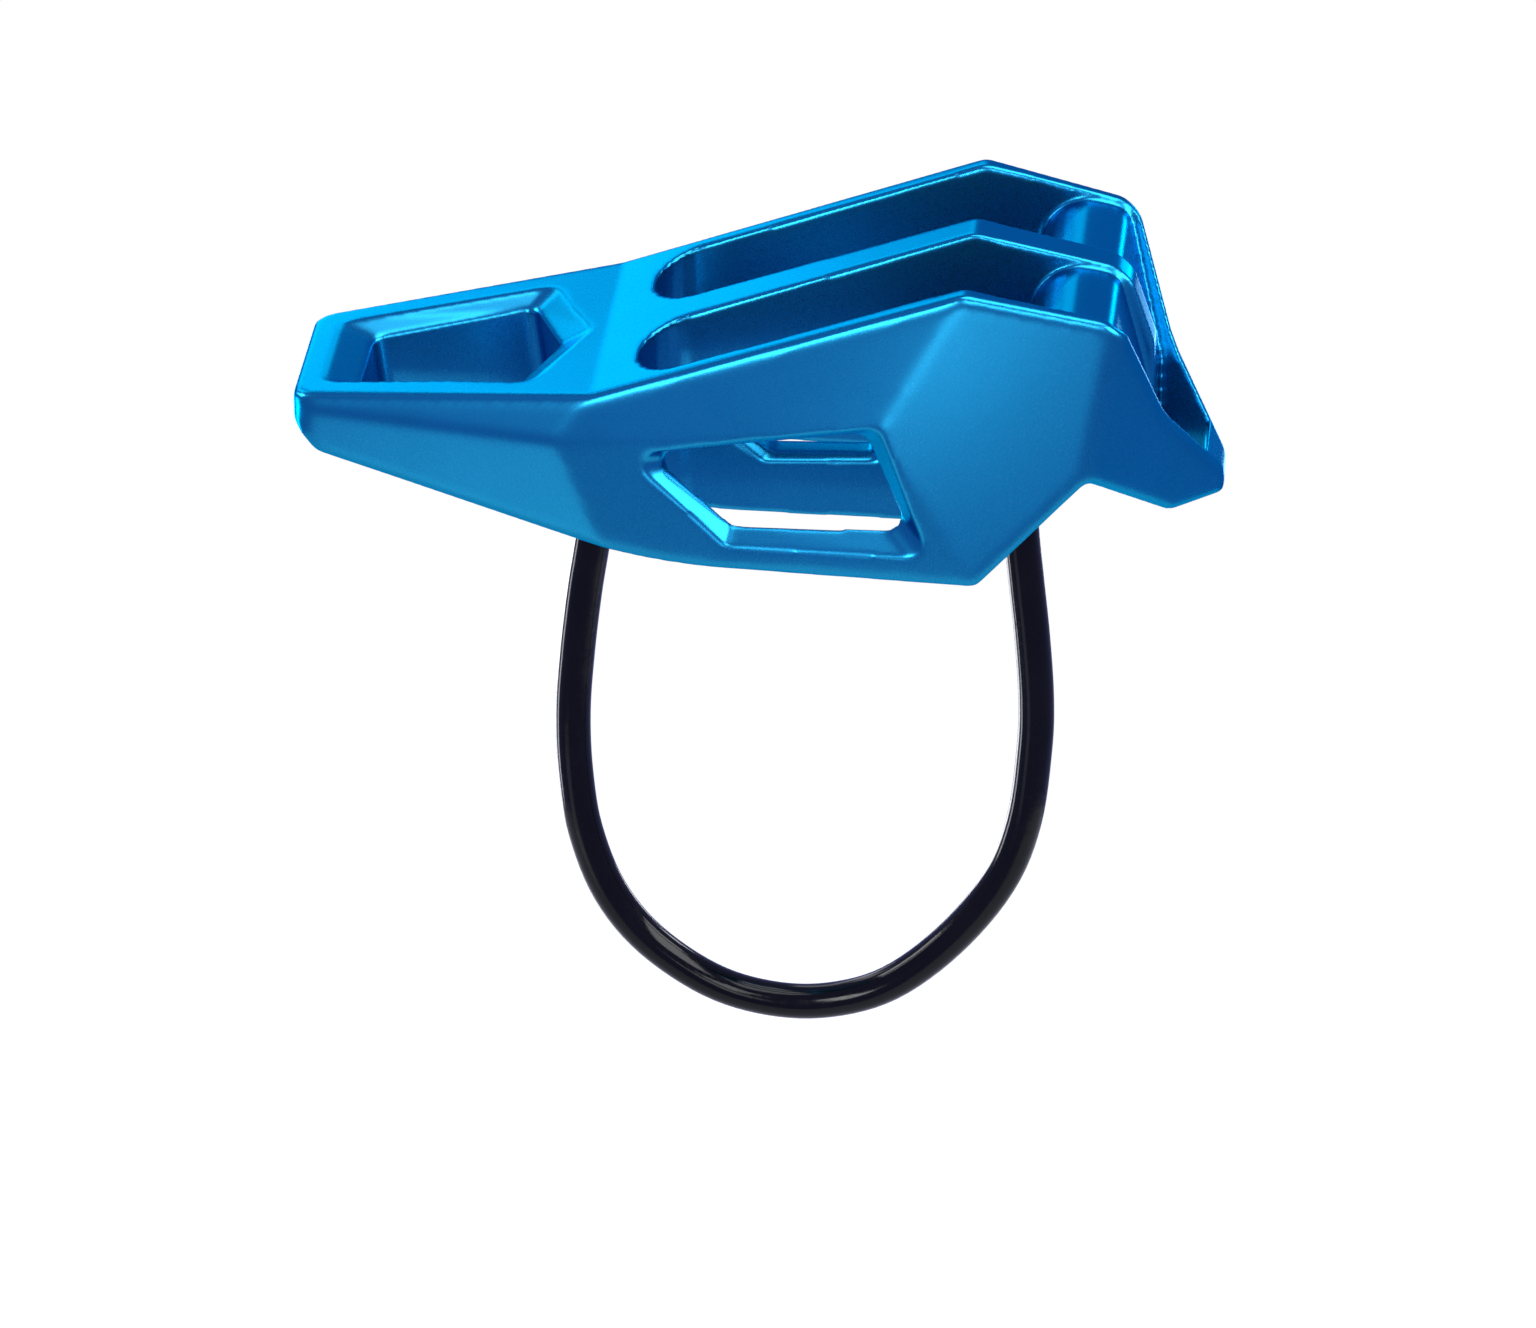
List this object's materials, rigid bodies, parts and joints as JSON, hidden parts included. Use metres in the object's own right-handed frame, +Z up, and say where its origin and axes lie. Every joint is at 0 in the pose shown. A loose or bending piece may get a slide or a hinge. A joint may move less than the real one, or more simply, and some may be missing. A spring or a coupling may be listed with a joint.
{
  "type": "guide mode belay device",
  "caption": "Faceted aluminium rope brake with an anchor eye, two rope slots, a V-shaped friction channel end, side windows, a release hole and a sprung keeper cable loop.",
  "frame": {"origin": "middle of the anchor eye, 2.2 mm below its rim on the mid-plane", "axes": "+X from the anchor eye to the nose, +Y across the ribs to the far flank, +Z up, with the keeper loop hanging down"},
  "size_m": [0.0942, 0.0364, 0.0914],
  "materials": {
    "anodised_body": "satin blue anodised",
    "keeper_plastic": "glossy black",
    "keeper_steel": "plain wire and swaged ferrules"
  },
  "bodies": {
    "device": {"tube_body": "anodised_body", "rear_ferrule": "keeper_steel", "front_ferrule": "keeper_steel"},
    "keeper": {"keeper_sleeve": "keeper_plastic", "keeper_wire": "keeper_steel"}
  },
  "joints": [
    {"name": "keeper_flex", "type": "hinge", "parent": "device", "child": "keeper", "pos_m": [0.0368, 0, -0.0098], "axis": [1, 0, 0], "range_deg": [-35, 35], "stiffness_Nm_per_rad": 0.05, "deforming": ["keeper_sleeve", "keeper_wire"]}
  ]
}
